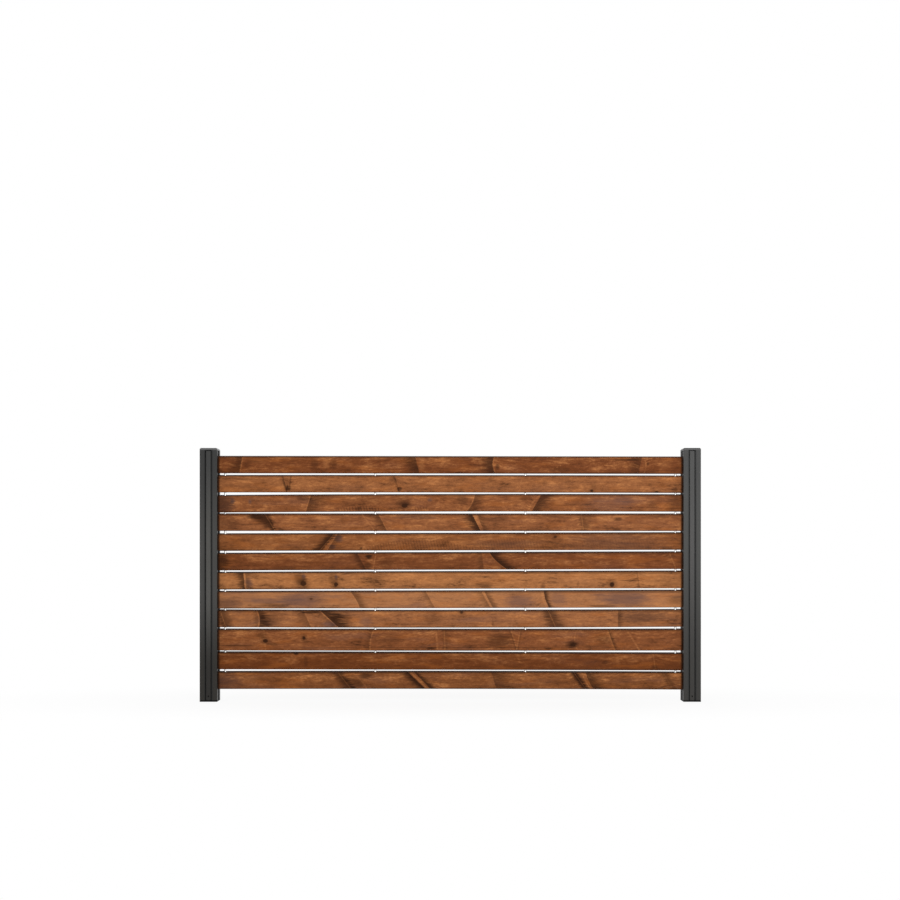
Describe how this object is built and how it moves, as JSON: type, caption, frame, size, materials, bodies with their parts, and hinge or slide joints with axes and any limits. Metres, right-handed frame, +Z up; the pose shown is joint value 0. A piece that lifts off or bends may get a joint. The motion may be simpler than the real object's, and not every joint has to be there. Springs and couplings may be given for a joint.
{
  "type": "rhombus slat fence panel",
  "caption": "Low fence panel: stained wooden rhombus slats stacked on bright spacer pins between two square anthracite aluminium posts with caps.",
  "frame": {"origin": "on the ground, midway between the posts and at mid depth", "axes": "+X along the slats, +Y towards the back, +Z up; the front faces -Y"},
  "size_m": [1.948, 0.068, 0.9867],
  "materials": {
    "post_metal": "fine matt anthracite powder coat",
    "strip_metal": "fine matt anthracite powder coat",
    "top_cap_plastic": "moulded anthracite plastic",
    "base_cap_plastic": "moulded black plastic",
    "screw_steel": "blackened steel",
    "pin_steel": "bright turned steel",
    "slat_light": "satin brown stain on planed softwood",
    "slat_pale": "satin brown stain on planed softwood",
    "slat_brown": "satin brown stain on planed softwood",
    "slat_dark": "satin brown stain on planed softwood",
    "slat_deep": "satin brown stain on planed softwood"
  },
  "bodies": {
    "root": {"post_left": "post_metal", "front_strip_left": "strip_metal", "back_strip_left": "strip_metal", "outer_strip_left": "strip_metal", "top_cap_left": "top_cap_plastic", "base_cap_left": "base_cap_plastic", "stop_block_left": "base_cap_plastic", "screws_left": "screw_steel", "post_right": "post_metal", "front_strip_right": "strip_metal", "back_strip_right": "strip_metal", "outer_strip_right": "strip_metal", "top_cap_right": "top_cap_plastic", "base_cap_right": "base_cap_plastic", "stop_block_right": "base_cap_plastic", "screws_right": "screw_steel", "slat_01": "slat_brown", "slat_02": "slat_light", "slat_03": "slat_brown", "slat_04": "slat_brown", "slat_05": "slat_brown", "slat_06": "slat_dark", "slat_07": "slat_light", "slat_08": "slat_pale", "slat_09": "slat_brown", "slat_10": "slat_dark", "slat_11": "slat_deep", "slat_12": "slat_dark", "spacer_pins_01": "pin_steel", "spacer_pins_02": "pin_steel", "spacer_pins_03": "pin_steel", "spacer_pins_04": "pin_steel", "spacer_pins_05": "pin_steel", "spacer_pins_06": "pin_steel", "spacer_pins_07": "pin_steel", "spacer_pins_08": "pin_steel", "spacer_pins_09": "pin_steel", "spacer_pins_10": "pin_steel", "spacer_pins_11": "pin_steel"}
  },
  "joints": []
}
